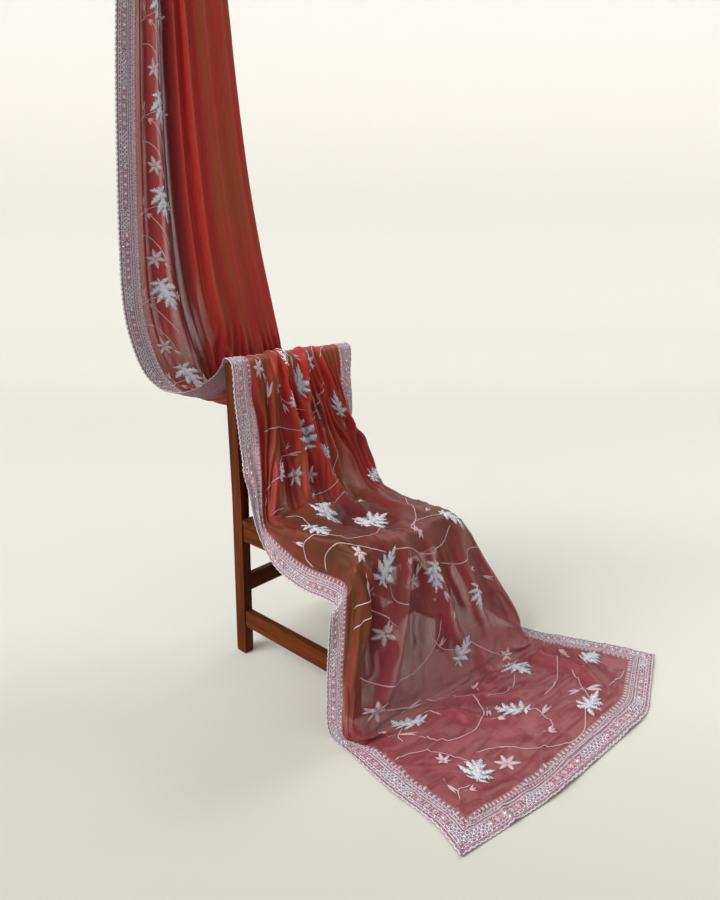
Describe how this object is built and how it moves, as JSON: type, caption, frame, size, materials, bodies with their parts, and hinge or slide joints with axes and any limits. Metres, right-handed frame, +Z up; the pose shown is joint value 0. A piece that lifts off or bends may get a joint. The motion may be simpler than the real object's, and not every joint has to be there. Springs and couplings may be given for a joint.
{
  "type": "saree draped over a wooden chair",
  "caption": "Sheer embroidered saree hung from above, looped behind a plain wooden chair, over its back and seat and spread on the floor.",
  "frame": {"origin": "middle of the whole footprint, at floor level", "axes": "+Z up, the chair's front faces -Y, +X is to the right when looking at the chair's front"},
  "size_m": [1.0746, 1.5742, 2.2004],
  "materials": {
    "organza": "sheer tissue organza, shot red and gold",
    "embroidery": "silver and pale pink thread and sequins on a border strip",
    "wood": "satin red-brown stain"
  },
  "bodies": {
    "root": {"cloth_hanging": "organza", "cloth_loop": "organza", "cloth_back": "organza", "cloth_seat": "organza", "cloth_fall": "organza", "cloth_floor": "organza", "border_left_loop": "embroidery", "border_right_loop": "embroidery", "border_left_back": "embroidery", "border_right_back": "embroidery", "border_left_seat": "embroidery", "border_right_seat": "embroidery", "border_left_fall": "embroidery", "border_right_fall": "embroidery", "border_left_hanging": "embroidery", "border_right_hanging": "embroidery", "border_left_floor": "embroidery", "border_right_floor": "embroidery", "border_end": "embroidery", "rear_post_left": "wood", "rear_post_right": "wood", "front_leg_left": "wood", "front_leg_right": "wood", "seat_board": "wood", "apron_left": "wood", "apron_right": "wood", "apron_front": "wood", "apron_rear": "wood", "stretcher_left": "wood", "stretcher_right": "wood", "stretcher_front": "wood", "stretcher_rear": "wood", "mid_rail": "wood", "crest_rail": "wood"}
  },
  "joints": []
}
